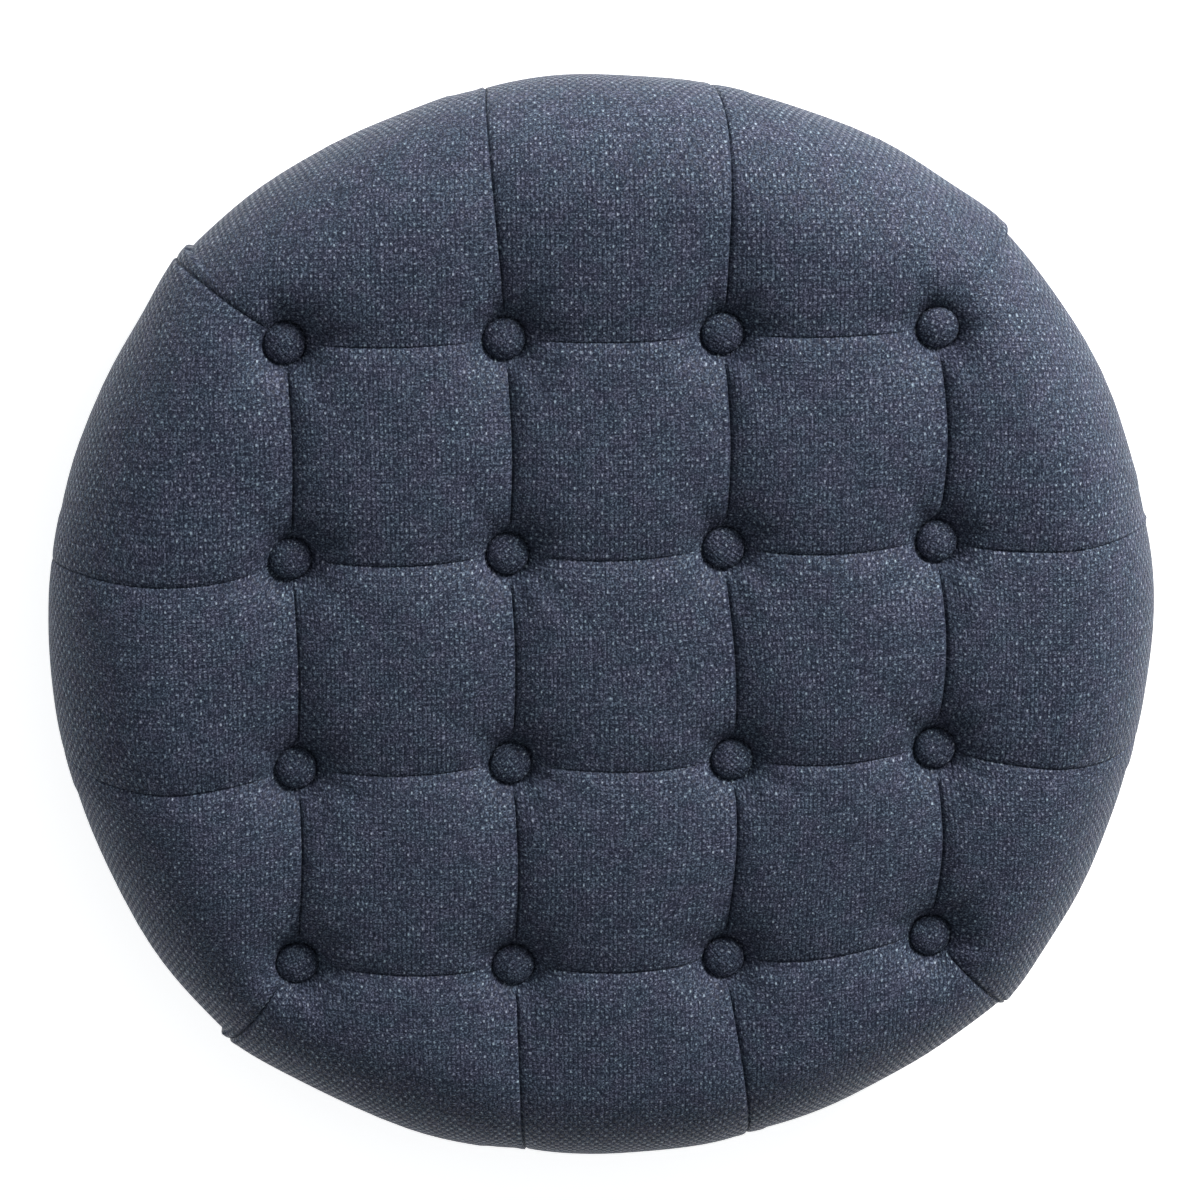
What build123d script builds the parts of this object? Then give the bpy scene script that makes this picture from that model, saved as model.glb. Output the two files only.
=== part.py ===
from build123d import *
import os
from math import asin, atan2, cos, degrees, radians, sin, sqrt, tan

# Round button-tufted seat cushion. A woven cover and a layer of batting are pulled over a foam
# core and stapled under a plywood board, and sixteen cloth-covered buttons are tied down through
# the foam with twine. Four tee nuts in the board take the screws of a chair or stool base.
#
# Millimetres. The origin is at the middle of the underside, +Z is up and +Y is the back.
# Button rows are a (back) to d (front), and columns are 1 (left) to 4 (right).

# ---- outline of the cloth
cushion_radius = 280.0
widest_z = 50.0            # height at which the side is widest
shoulder_radius = 62.0     # rounded edge between the top and the side
crown_slope = 3.15         # degrees, where the crowned top meets the rounded edge
side_radius = 110.0        # lower side, curving in towards the board
corner_radius = 6.0        # fold of the cloth round the underside edge

# ---- layers, from the floor up and from the cloth inwards
dust_cover_thickness = 0.8
dust_cover_radius = 256.0
cover_thickness = 1.5
hem_inner_radius = 236.0
batting_thickness = 8.0
batting_turn_thickness = 1.0   # squeezed flat between the hem and the board
batting_turn_radius = 242.0
board_radius = 263.0
board_thickness = 12.0
board_edge_fillet = 3.0

board_bottom = dust_cover_thickness + cover_thickness + batting_turn_thickness
board_top = board_bottom + board_thickness
foam_inset = cover_thickness + batting_thickness

# ---- tufting
button_pitch = 106.0
tuft_depth = 19.0              # from the crown of the cushion down to a button's seat
tuft_floor_radius = 11.5
tuft_flare_radius = 19.0       # cloth rolling over from the button's well to the top
tuft_lip_slope = 8.0           # degrees
tuft_lip_length = 15.0
button_batting = 3.0           # batting squeezed under a button
eye_hole_radius = 4.0
foam_bore_radius = 7.0
# buttons tied a little off their places
hand_tied_shifts = {"c3": (4.0, -2.0), "d1": (-2.0, 4.0), "d4": (-1.0, 7.0)}

# ---- buttons
button_radius = 10.0
button_height = 6.0
button_side_height = 2.8
button_rim_fillet = 1.5
button_cloth = 1.0
button_tuck_radius = 7.5       # the cloth turns under the rim as far as this
shell_thickness = 0.6
back_plate_radius = 8.3
back_plate_thickness = 0.8
eye_wire_radius = 0.7
eye_width = 5.0                # between the centres of the eye's legs
eye_drop = 3.0                 # straight legs below the seat
eye_top = 2.6                  # ends of the legs inside the shell

# ---- twine
twine_radius = 0.65
twine_loop_radius = 1.4        # round the eye's wire
twine_bend_radius = 3.0
twine_tail = 20.0
twine_z = board_bottom - twine_radius - 0.02
twine_hole_radius = 3.0
twine_sink_radius = 4.6
twine_sink_depth = 3.0

# ---- staples
staple_wire = (1.0, 0.6)
staple_leg = 12.0
hem_staple_crown = 10.0
hem_staple_radius = 250.0
hem_staple_count = 48
dust_staple_radius = 246.0
dust_staple_count = 36
twine_staple_crown = 9.0
twine_staple_reach = 15.0      # along each tail, from the hole

# ---- tee nuts
nut_circle = 300.0
nut_count = 4
nut_flange_radius = 11.0
nut_flange_thickness = 1.5
nut_barrel_radius = 5.0
nut_barrel_length = 10.0
nut_bore_radius = 3.35         # minor diameter of an M8 thread
nut_prong_radius = 9.0
nut_prong_width = 3.0
nut_prong_length = 6.0
nut_relief_radius = 6.5        # room in the foam for the end of a screw
nut_relief_height = 18.0
dust_cover_nut_hole = 8.0

# ---- worked out from the outline
shoulder_x = cushion_radius - shoulder_radius
side_x = cushion_radius - side_radius
corner_z = dust_cover_thickness + corner_radius
corner_x = side_x + sqrt((side_radius - corner_radius) ** 2 - (widest_z - corner_z) ** 2)
crown_rim = shoulder_x + shoulder_radius * sin(radians(crown_slope))
crown_rise = crown_rim / 2 * tan(radians(crown_slope))
cushion_height = widest_z + shoulder_radius * cos(radians(crown_slope)) + crown_rise
under_edge_sweep = degrees(atan2(widest_z - corner_z, corner_x - side_x))


def save(piece, name):
    piece.label = name
    export_step(piece, f"parts/{name}.step")


# ---- places of the buttons

def button_places():
    """The button names with their centres, row by row from the back."""
    places = {}
    for row, row_name in enumerate("abcd"):
        for column in range(4):
            name = f"{row_name}{column + 1}"
            shift_x, shift_y = hand_tied_shifts.get(name, (0.0, 0.0))
            x = (column - 1.5) * button_pitch + shift_x
            y = (1.5 - row) * button_pitch + shift_y
            places[name] = (x, y)
    return places


def seat_height(x, y):
    """Height of the cloth that a button at x, y sits on, a fixed depth below the crown."""
    return cushion_height - crown_rise * (x**2 + y**2) / crown_rim**2 - tuft_depth


def button_plane(x, y, z):
    """Level plane at a button, with its x axis across the line to the cushion's middle."""
    return Plane(origin=(x, y, z), x_dir=(-y, x, 0), z_dir=(0, 0, 1))


buttons = button_places()
button_seats = {name: button_plane(x, y, seat_height(x, y)) for name, (x, y) in buttons.items()}


# ---- bodies that the soft layers are cut from

def layer_section(inset, base_z):
    """Half section of all that lies within the cloth by inset, from base_z up."""
    turns_under = base_z < corner_z
    side_sweep = under_edge_sweep
    if not turns_under:
        side_sweep = degrees(asin((widest_z - base_z) / (side_radius - inset)))
    with BuildSketch(Plane.XZ) as section:
        with BuildLine():
            shoulder = CenterArc(
                (shoulder_x, widest_z), shoulder_radius - inset, 90 - crown_slope, crown_slope - 90
            )
            rim = shoulder @ 0
            crown_z = rim.Y + rim.X / 2 * tan(radians(crown_slope))
            Bezier((0, crown_z), (rim.X / 2, crown_z), rim)
            foot = CenterArc((side_x, widest_z), side_radius - inset, 0, -side_sweep)
            if turns_under:
                foot = CenterArc((corner_x, corner_z), corner_radius - inset, -side_sweep, side_sweep - 90)
            foot_end = foot @ 1
            Polyline(foot_end, (0, foot_end.Y), (0, crown_z))
        make_face()
    return section.sketch


def tuft_section(x, y, inset, floor_drop):
    """Half section of the hollow over a button, for the layer that lies within the cloth by inset."""
    floor_z = seat_height(x, y)
    floor_radius = tuft_floor_radius + inset
    floor_points = [(0, floor_z - floor_drop), (floor_radius, floor_z - floor_drop)]
    if floor_drop > 0:
        floor_points.append((floor_radius, floor_z))
    lip_start = 90 + tuft_lip_slope
    with BuildSketch(Plane(origin=(x, y, 0), x_dir=(1, 0, 0), z_dir=(0, -1, 0))) as section:
        with BuildLine():
            well = Polyline(*floor_points)
            flare = CenterArc(
                (tuft_floor_radius + tuft_flare_radius, floor_z),
                tuft_flare_radius - inset,
                180,
                lip_start - 180,
            )
            lip = PolarLine(flare @ 1, tuft_lip_length, tuft_lip_slope)
            lip_end = lip @ 1
            Polyline(lip_end, (lip_end.X, cushion_height + 5), (0, cushion_height + 5), well @ 0)
        make_face()
    return section.sketch


def tufted_body(inset, base_z, floor_drop):
    """Solid within the cloth by inset, with the sixteen hollows cut in its top."""
    with BuildPart() as body:
        revolve(layer_section(inset, base_z), axis=Axis.Z)
        for x, y in buttons.values():
            hollow = tuft_section(x, y, inset, floor_drop)
            revolve(hollow, axis=Axis((x, y, 0), (0, 0, 1)), mode=Mode.SUBTRACT)
    return body.part


cloth_outside = tufted_body(0, dust_cover_thickness, 0)
cloth_inside = tufted_body(cover_thickness, dust_cover_thickness + cover_thickness, cover_thickness)
foam_body = tufted_body(foam_inset, board_top, cover_thickness + button_batting)

with BuildPart() as board_blank:
    with BuildSketch(Plane.XY.offset(board_bottom)):
        Circle(board_radius)
    extrude(amount=board_thickness)
    fillet(board_blank.edges().group_by(Axis.Z)[0], radius=board_edge_fillet)

os.makedirs("parts", exist_ok=True)

# ---- cover: pulled over the top and side, and turned under the board
with BuildPart() as tufted_cover:
    add(cloth_outside)
    add(cloth_inside, mode=Mode.SUBTRACT)
    with BuildSketch():
        Circle(hem_inner_radius)
    extrude(amount=board_bottom, mode=Mode.SUBTRACT)
    with BuildSketch(Plane.XY.offset(board_top)):
        with Locations(*buttons.values()):
            Circle(eye_hole_radius)
    extrude(amount=cushion_height, mode=Mode.SUBTRACT)
save(tufted_cover.part, "tufted_cover")

# ---- batting: between the cover and the foam, down round the edge of the board
with BuildPart() as batting_wrap:
    add(cloth_inside)
    add(foam_body, mode=Mode.SUBTRACT)
    add(board_blank.part, mode=Mode.SUBTRACT)
    with BuildSketch():
        Circle(batting_turn_radius)
    extrude(amount=board_bottom, mode=Mode.SUBTRACT)
    with BuildSketch(Plane.XY.offset(board_top)):
        with Locations(*buttons.values()):
            Circle(eye_hole_radius)
    extrude(amount=cushion_height, mode=Mode.SUBTRACT)
save(batting_wrap.part, "batting_wrap")

# ---- foam core, bored under each button and relieved over each tee nut
with BuildPart() as foam_core:
    add(foam_body)
    with BuildSketch(Plane.XY.offset(board_top)):
        with Locations(*buttons.values()):
            Circle(foam_bore_radius)
    extrude(amount=cushion_height, mode=Mode.SUBTRACT)
    with BuildSketch(Plane.XY.offset(board_top)):
        with PolarLocations(nut_circle / 2, nut_count, start_angle=45):
            Circle(nut_flange_radius)
    extrude(amount=nut_flange_thickness, mode=Mode.SUBTRACT)
    with BuildSketch(Plane.XY.offset(board_top)):
        with PolarLocations(nut_circle / 2, nut_count, start_angle=45):
            Circle(nut_relief_radius)
    extrude(amount=nut_relief_height, mode=Mode.SUBTRACT)
save(foam_core.part, "foam_core")

# ---- plywood board: twine holes countersunk from below, and holes for the tee nuts
with BuildPart() as seat_board:
    add(board_blank.part)
    with BuildSketch(Plane.XY.offset(board_bottom)):
        with Locations(*buttons.values()):
            Circle(twine_hole_radius)
        with PolarLocations(nut_circle / 2, nut_count, start_angle=45):
            Circle(nut_barrel_radius)
    extrude(amount=board_thickness, mode=Mode.SUBTRACT)
    with Locations(*[(x, y, board_bottom) for x, y in buttons.values()]):
        Cone(
            bottom_radius=twine_sink_radius,
            top_radius=twine_hole_radius,
            height=twine_sink_depth,
            align=(Align.CENTER, Align.CENTER, Align.MIN),
            mode=Mode.SUBTRACT,
        )
save(seat_board.part, "seat_board")

# ---- tee nuts: flange on top of the board, barrel in its hole, prongs driven into the wood
with BuildPart() as nut_blank:
    with BuildSketch(Plane.XY.offset(board_top)):
        Circle(nut_flange_radius)
    extrude(amount=nut_flange_thickness)
    with BuildSketch(Plane.XY.offset(board_top)):
        Circle(nut_barrel_radius)
    extrude(amount=-nut_barrel_length)
    for side in PolarLocations(nut_prong_radius, 4):
        across = Vector(0, 0, 1).cross(side.position)
        with BuildSketch(Plane(side.position, x_dir=across, z_dir=side.position)):
            with BuildLine():
                Polyline(
                    (-nut_prong_width / 2, board_top),
                    (nut_prong_width / 2, board_top),
                    (0, board_top - nut_prong_length),
                    close=True,
                )
            make_face()
        extrude(amount=nut_flange_thickness / 2, both=True)
    with BuildSketch(Plane.XY.offset(board_top - nut_barrel_length)):
        Circle(nut_bore_radius)
    extrude(amount=nut_barrel_length + nut_flange_thickness, mode=Mode.SUBTRACT)

for number, place in enumerate(PolarLocations(nut_circle / 2, nut_count, start_angle=45), start=1):
    with BuildPart() as tee_nut:
        with Locations(place):
            add(nut_blank.part)
    save(tee_nut.part, f"tee_nut_{number}")


# ---- covered buttons, drawn with the seat at z = 0

def button_section(inset, base_z):
    """Half section of a button within its cloth by inset, from base_z up."""
    cap_radius = (button_radius**2 + (button_height - button_side_height) ** 2) / (
        2 * (button_height - button_side_height)
    )
    cap_z = button_height - cap_radius
    side = button_radius - inset
    side_top = cap_z + sqrt((cap_radius - inset) ** 2 - side**2)
    cap_sweep = degrees(asin(side / (cap_radius - inset)))
    with BuildSketch(Plane.XZ) as section:
        with BuildLine():
            CenterArc((0, cap_z), cap_radius - inset, 90, -cap_sweep)
            Polyline((side, side_top), (side, base_z), (0, base_z), (0, button_height - inset))
        make_face()
    return section.sketch


with BuildPart() as button_cover_blank:
    revolve(button_section(0, 0), axis=Axis.Z)
    fillet(button_cover_blank.edges().filter_by(GeomType.CIRCLE), radius=button_rim_fillet)
    revolve(button_section(button_cloth, button_cloth), axis=Axis.Z, mode=Mode.SUBTRACT)
    with BuildSketch():
        Circle(button_tuck_radius)
    extrude(amount=button_cloth, mode=Mode.SUBTRACT)

with BuildPart() as button_shell_blank:
    revolve(button_section(button_cloth, button_cloth), axis=Axis.Z)
    revolve(button_section(button_cloth + shell_thickness, button_cloth), axis=Axis.Z, mode=Mode.SUBTRACT)

with BuildPart() as back_plate_blank:
    with BuildSketch(Plane.XY.offset(button_cloth)):
        Circle(back_plate_radius)
        with GridLocations(0, eye_width, 1, 2):
            Circle(eye_wire_radius, mode=Mode.SUBTRACT)
    extrude(amount=back_plate_thickness)

with BuildPart() as eye_blank:
    with BuildLine(Plane.YZ) as eye_route:
        leg = Line((-eye_width / 2, eye_top), (-eye_width / 2, -eye_drop))
        bend = CenterArc((0, -eye_drop), eye_width / 2, 180, 180)
        Line(bend @ 1, (eye_width / 2, eye_top))
    with BuildSketch(Plane(eye_route.line @ 0, z_dir=eye_route.line % 0)):
        Circle(eye_wire_radius)
    sweep()

for name, seat in button_seats.items():
    with BuildPart() as button_cover:
        with Locations(seat):
            add(button_cover_blank.part)
    save(button_cover.part, f"button_cover_{name}")

with BuildPart() as button_shells:
    with Locations(*button_seats.values()):
        add(button_shell_blank.part)
save(button_shells.part, "button_shells")

with BuildPart() as button_back_plates:
    with Locations(*button_seats.values()):
        add(back_plate_blank.part)
save(button_back_plates.part, "button_back_plates")

with BuildPart() as button_eyes:
    with Locations(*button_seats.values()):
        add(eye_blank.part)
save(button_eyes.part, "button_eyes")

# ---- twine: up from under the board, round a button's eye and down again, with both tails
# laid flat on the underside across the line to the middle
twine_top = -eye_drop - eye_width / 2   # middle of the eye's wire, below the button's seat
bend_x = twine_loop_radius + twine_bend_radius

for name, (x, y) in buttons.items():
    loop_z = seat_height(x, y) + twine_top
    bend_z = twine_z + twine_bend_radius
    level = button_plane(x, y, 0)
    with BuildPart() as tufting_twine:
        with BuildLine(Plane(origin=(x, y, 0), x_dir=level.x_dir, z_dir=-level.y_dir)) as route:
            Line((bend_x + twine_tail, twine_z), (bend_x, twine_z))
            rise = CenterArc((bend_x, bend_z), twine_bend_radius, 270, -90)
            Line(rise @ 1, (twine_loop_radius, loop_z))
            CenterArc((0, loop_z), twine_loop_radius, 0, 180)
            Line((-twine_loop_radius, loop_z), (-twine_loop_radius, bend_z))
            fall = CenterArc((-bend_x, bend_z), twine_bend_radius, 0, -90)
            Line(fall @ 1, (-bend_x - twine_tail, twine_z))
        with BuildSketch(Plane(route.line @ 0, z_dir=route.line % 0)):
            Circle(twine_radius)
        sweep()
    save(tufting_twine.part, f"tufting_twine_{name}")


# ---- staples: two legs and a crown, drawn standing on z = 0 with the crown along y

def staple(crown, leg):
    with BuildPart() as wire_staple:
        with BuildSketch(Plane.YZ):
            Rectangle(crown, leg, align=(Align.CENTER, Align.MIN))
            with Locations((0, staple_wire[1])):
                Rectangle(
                    crown - 2 * staple_wire[1],
                    leg,
                    align=(Align.CENTER, Align.MIN),
                    mode=Mode.SUBTRACT,
                )
        extrude(amount=staple_wire[0] / 2, both=True)
    return wire_staple.part


with BuildPart() as twine_staples:
    crown_z = twine_z - twine_radius - staple_wire[1] - 0.02
    for x, y in buttons.values():
        level = button_plane(x, y, crown_z)
        with Locations(level):
            with Locations((-twine_staple_reach, 0), (twine_staple_reach, 0)):
                add(staple(twine_staple_crown, staple_leg))
save(twine_staples.part, "twine_staples")

with BuildPart() as hem_staples:
    with Locations((0, 0, dust_cover_thickness)):
        with PolarLocations(hem_staple_radius, hem_staple_count):
            add(staple(hem_staple_crown, staple_leg))
save(hem_staples.part, "hem_staples")

with BuildPart() as dust_cover_staples:
    with PolarLocations(dust_staple_radius, dust_staple_count):
        add(staple(hem_staple_crown, staple_leg))
save(dust_cover_staples.part, "dust_cover_staples")

# ---- dust cover over the underside, open at the tee nuts
with BuildPart() as dust_cover:
    with BuildSketch():
        Circle(dust_cover_radius)
        with PolarLocations(nut_circle / 2, nut_count, start_angle=45):
            Circle(dust_cover_nut_hole, mode=Mode.SUBTRACT)
    extrude(amount=dust_cover_thickness)
save(dust_cover.part, "dust_cover")
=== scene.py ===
from math import atan2, cos, pi, radians, sin, sqrt, tan

import bmesh
import bpy
import numpy as np
from mathutils import Matrix, Vector


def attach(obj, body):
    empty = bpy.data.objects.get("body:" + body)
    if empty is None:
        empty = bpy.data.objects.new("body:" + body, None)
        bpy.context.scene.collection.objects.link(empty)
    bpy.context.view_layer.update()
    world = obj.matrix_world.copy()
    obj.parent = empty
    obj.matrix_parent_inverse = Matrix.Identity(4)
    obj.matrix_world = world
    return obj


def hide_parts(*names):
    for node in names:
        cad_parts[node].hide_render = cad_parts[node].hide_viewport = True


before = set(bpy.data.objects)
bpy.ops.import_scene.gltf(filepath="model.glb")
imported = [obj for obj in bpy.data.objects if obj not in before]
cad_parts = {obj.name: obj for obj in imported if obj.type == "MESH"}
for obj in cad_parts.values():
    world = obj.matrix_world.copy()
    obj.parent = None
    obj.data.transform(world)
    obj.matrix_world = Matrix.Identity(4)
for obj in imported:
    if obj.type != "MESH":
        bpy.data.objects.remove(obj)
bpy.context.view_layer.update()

# Round button-tufted seat cushion. The cloth, batting and foam are made here round the packed
# board, tee nuts, staples, twine and button shells. Lengths are in millimetres until a mesh is
# made, and MM turns them into metres. +Z is up, +Y is the back, and +X is the right.

MM = 0.001

# ---- driving dimensions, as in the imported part
CUSHION_RADIUS = 280.0
WIDEST_Z = 50.0
SHOULDER_RADIUS = 62.0
CROWN_SLOPE = radians(3.15)
SIDE_RADIUS = 110.0
CORNER_RADIUS = 6.0
HEM_Z = 0.8
HEM_INNER_RADIUS = 236.0
CLOTH = 1.5
FOAM_INSET = 9.5
BOARD_RADIUS = 263.0
BOARD_BOTTOM = 3.3
BOARD_TOP = 15.3
BATTING_TURN_RADIUS = 242.0
PITCH = 106.0
TUFT_DEPTH = 19.0
HAND_TIED_SHIFTS = {"c3": (4.0, -2.0), "d1": (-2.0, 4.0), "d4": (-1.0, 7.0)}
BUTTON_RADIUS = 10.0
NUT_CIRCLE = 300.0
DUST_COVER_RADIUS = 256.0
DUST_COVER_HOLE = 8.0
DUST_STAPLES = 36

SHOULDER_X = CUSHION_RADIUS - SHOULDER_RADIUS
SIDE_X = CUSHION_RADIUS - SIDE_RADIUS
CORNER_Z = HEM_Z + CORNER_RADIUS
CORNER_X = SIDE_X + sqrt((SIDE_RADIUS - CORNER_RADIUS) ** 2 - (WIDEST_Z - CORNER_Z) ** 2)
CROWN_RIM = SHOULDER_X + SHOULDER_RADIUS * sin(CROWN_SLOPE)
CROWN_RISE = CROWN_RIM / 2 * tan(CROWN_SLOPE)
CUSHION_HEIGHT = WIDEST_Z + SHOULDER_RADIUS * cos(CROWN_SLOPE) + CROWN_RISE
UNDER_SWEEP = atan2(WIDEST_Z - CORNER_Z, CORNER_X - SIDE_X)

# ---- distances along the cloth from the crown's middle to each change of curve
S_RIM = CROWN_RIM
S_WIDEST = S_RIM + SHOULDER_RADIUS * (pi / 2 - CROWN_SLOPE)
S_CORNER = S_WIDEST + SIDE_RADIUS * UNDER_SWEEP
S_HEM = S_CORNER + CORNER_RADIUS * (pi / 2 - UNDER_SWEEP)
S_END = S_HEM + CORNER_X - HEM_INNER_RADIUS

# the button grid: columns 1 to 4 from the left, rows a to d from the back
GRID = (np.arange(4) - 1.5) * PITCH
BUTTONS = {
    f"{row}{column + 1}": (GRID[column], GRID[3 - i])
    for i, row in enumerate("abcd")
    for column in range(4)
}
BLOCK_MARGIN = 6.0    # the square middle of the mesh reaches this far past the outer buttons


def smooth(a, b, x):
    """Smooth step from 0 at a to 1 at b."""
    t = np.clip((x - a) / (b - a), 0, 1)
    return t * t * (3 - 2 * t)


# ---- the cloth before it is tufted: a point q of the flat cloth goes to a place and a normal

def outline(s, inset):
    """Radius and height of the layer inset under the cloth, s along it, and the normal's angle from up."""
    psi = np.interp(
        s,
        [0, S_RIM, S_WIDEST, S_CORNER, S_HEM, S_END],
        [0, CROWN_SLOPE, pi / 2, pi / 2 + UNDER_SWEEP, pi, pi],
    )
    sin_psi, cos_psi = np.sin(psi), np.cos(psi)
    conditions = [s < S_RIM, s < S_WIDEST, s < S_CORNER, s < S_HEM]
    radius = np.select(
        conditions,
        [
            s,
            SHOULDER_X + SHOULDER_RADIUS * sin_psi,
            SIDE_X + SIDE_RADIUS * sin_psi,
            CORNER_X + CORNER_RADIUS * sin_psi,
        ],
        CORNER_X - (s - S_HEM),
    )
    height = np.select(
        conditions,
        [
            CUSHION_HEIGHT - CROWN_RISE * (s / CROWN_RIM) ** 2,
            WIDEST_Z + SHOULDER_RADIUS * cos_psi,
            WIDEST_Z + SIDE_RADIUS * cos_psi,
            CORNER_Z + CORNER_RADIUS * cos_psi,
        ],
        HEM_Z,
    )
    return radius - inset * sin_psi, height - inset * cos_psi, psi


# ---- pleats

# Twelve pleats run outwards from the outer buttons, clockwise from the back left corner. BEARINGS
# are where they cross the widest part of the side, in degrees from +X. LAPS is 1 where the panel on
# the anticlockwise side laps over the other, and -1 where the other panel does.
BEARINGS = np.radians([137.6, 102, 79, 46.3, 10.7, -11.8, -44.3, -76.3, -99.2, -133.4, -170.0, -189.2])
LAPS = np.array([1, 1, 1, 1, 1, 1, 1, -1, -1, 1, -1, 1])
CORNER_PLEATS = (0, 3, 6, 9)
SIDE_PLEATS = (4, 5, 10, 11)

# valley depths and reaches: columns run front to back, rows run left to right, and rays outwards
COLUMN = {"middle": 6.0, "ends": 7.6, "lapping_reach": 17.0, "reach": 8.0}
ROW = {"middle": 4.4, "ends": 7.2, "lapping_reach": 14.0, "reach": 9.0}
RAYS = {
    "upright": {"start": 8.0, "rim": 0.8, "hem": 0.4, "reach": 11.0},
    "level": {"start": 6.5, "rim": 0.4, "hem": 0.3, "reach": 10.0},
    "corner": {"start": 8.5, "rim": 0.0, "hem": 0.0, "reach": 12.0},
}
LAP_RISE = {"corner": 3.0, "upright": 0.8, "level": 1.2}   # a lapping panel stands out at the side
LAP_RISE_REACH = 30.0       # of that rise, away from the pleat
UNDER_RISE_REACH = 2.0      # and on the panel beneath
FOLD_STRENGTH = {"column": 0.9, "row": 0.27, "upright": 0.75, "level": 0.28, "corner": 0.7}
SHALLOW_CORNER = 3          # the back right corner's pleat is pulled almost smooth
SHALLOW_SHARE = 0.2
BACK_ROW_SHARE = 0.5        # the back row's folds are pulled flatter than the others

# section across a fold, from the lapping panel (minus) to the one beneath: sideways and down
FOLD_ACROSS = [-6.0, -3.0, -1.8, -0.8, -0.15, 0.0, 0.15, 0.8, 1.8, 3.0, 6.0]
FOLD_SHIFT = [0.0, 0.4, 0.8, 1.1, 0.95, 0.55, 0.85, 0.65, 0.3, 0.1, 0.0]
FOLD_SINK = [0.0, -0.35, -0.4, 0.0, 1.2, 4.8, 4.0, 1.4, 0.5, 0.15, 0.0]


def polar(s, bearing):
    """The flat cloth's point at a distance and a bearing from its middle."""
    return np.stack([s * np.cos(bearing), s * np.sin(bearing)], -1)


def ray_starts():
    """Buttons that the twelve outward pleats start from."""
    near, far = GRID[1], GRID[3]
    return np.array([
        (-far, far), (near, far), (-near, far), (far, far), (far, -near), (far, near),
        (far, -far), (-near, -far), (near, -far), (-far, -far), (-far, near), (-far, -near),
    ])


def along_segment(q, a, b):
    """Distance of each q from the segment ab, and how far along it the nearest point is."""
    ab = b - a
    t = np.clip(((q - a) @ ab) / (ab @ ab), 0, 1)
    return np.linalg.norm(q - a - t[:, None] * ab, axis=1), t


def ray_kind(k):
    return "corner" if k in CORNER_PLEATS else "level" if k in SIDE_PLEATS else "upright"


def pleat_valleys(q):
    """Depth of the cloth below its untufted outline, from the pleats."""
    total = np.zeros(len(q))
    blend_power = 2.6       # valleys that meet join into one, and their depths don't add up
    floor_round = 0.6

    def add(distance, depth, reach):
        nonlocal total
        rounded = np.sqrt(distance**2 + floor_round**2) - floor_round
        total += (np.maximum(depth, 0) * np.exp(-rounded / reach)) ** blend_power

    for kind, swap in ((COLUMN, False), (ROW, True)):
        for line in GRID:
            for low, high in zip(GRID[:-1], GRID[1:]):
                a, b = np.array([line, low]), np.array([line, high])
                if swap:
                    a, b = a[::-1], b[::-1]
                d, t = along_segment(q, a, b)
                lapping = q[:, 1] > line if swap else q[:, 0] < line
                depth = kind["middle"] + (kind["ends"] - kind["middle"]) * np.abs(2 * t - 1) ** 3
                add(d, depth, np.where(lapping, kind["lapping_reach"], kind["reach"]))
    ridge = np.zeros(len(q))
    for k, (start, bearing) in enumerate(zip(ray_starts(), BEARINGS)):
        kind = RAYS[ray_kind(k)]
        rim, hem = polar(S_WIDEST, bearing), polar(S_END, bearing)
        d, t = along_segment(q, start, rim)
        add(d, kind["rim"] + (kind["start"] - kind["rim"]) * (1 - t) ** 1.6, kind["reach"])
        d2, t2 = along_segment(q, rim, hem)
        add(d2, np.where(d2 <= d, kind["rim"] + (kind["hem"] - kind["rim"]) * t2, 0), kind["reach"])
        left_of_ray = cos(bearing) * (q[:, 1] - start[1]) - sin(bearing) * (q[:, 0] - start[0])
        lapping = left_of_ray * LAPS[k] > 0
        rise = LAP_RISE[ray_kind(k)] * smooth(0.45, 0.95, t) * (1 - smooth(0.45, 0.85, t2))
        rise_reach = np.where(lapping, LAP_RISE_REACH, UNDER_RISE_REACH)
        ridge += rise * np.exp(-((np.minimum(d, d2) / rise_reach) ** 2))
    return total ** (1 / blend_power) - ridge


# ---- hand-made unevenness

CORNER_BULGE = {45: 0.6, 135: 1.7, -135: 4.6, -45: 5.6}   # how far each corner of the round stands out
FLAT_SIDES = 2.4                                           # and how far the sides between them stay in
CORNER_SHARPNESS = 2.4     # 1 for straight flanks, and more for a narrower corner
PULLED_OVER = (-1.4, 1.9)                                  # the cover's sides sit this far off the middle
PADDING_WAVES = [      # waves per millimetre in x and y, phase and height
    (0.031, 0.017, 0.4, 0.55),
    (-0.013, 0.041, 1.9, 0.45),
    (0.052, -0.047, 3.1, 0.3),
    (0.083, 0.061, 5.2, 0.16),
]
BOW_RIGHT = [1.5, 1.5, 1.9, 3.0]   # columns of pleats bow to the right between buttons
BOW_DOWN = [2.0, 2.0, 2.0, 0.9]    # rows of pleats bow to the front

# the side pleats, by their place in BEARINGS, sag to the front too: how far, and the share of its
# length where each is lowest
SIDE_SAG = {4: (8.0, 0.6), 5: (6.6, 0.6), 10: (9.2, 0.5), 11: (10.4, 0.34)}
SIDE_SAG_REACH = 38.0
TIE_SHIFT_NEAR = 13.0      # cloth this near a button that is off its place moves all the way with it,
TIE_SHIFT_FAR = 92.0       # and cloth this far away not at all


def outward_bulge(q):
    """How far the side stands outside its round, by bearing."""
    bearing = np.degrees(np.arctan2(q[:, 1], q[:, 0]))
    turn = np.radians(bearing)
    out = PULLED_OVER[0] * np.cos(turn) + PULLED_OVER[1] * np.sin(turn) - FLAT_SIDES
    for corner, bulge in CORNER_BULGE.items():
        away = np.minimum(np.abs((bearing - corner + 180) % 360 - 180), 45)
        out += (bulge + FLAT_SIDES) * (1 - away / 45) ** CORNER_SHARPNESS
    return out


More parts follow.
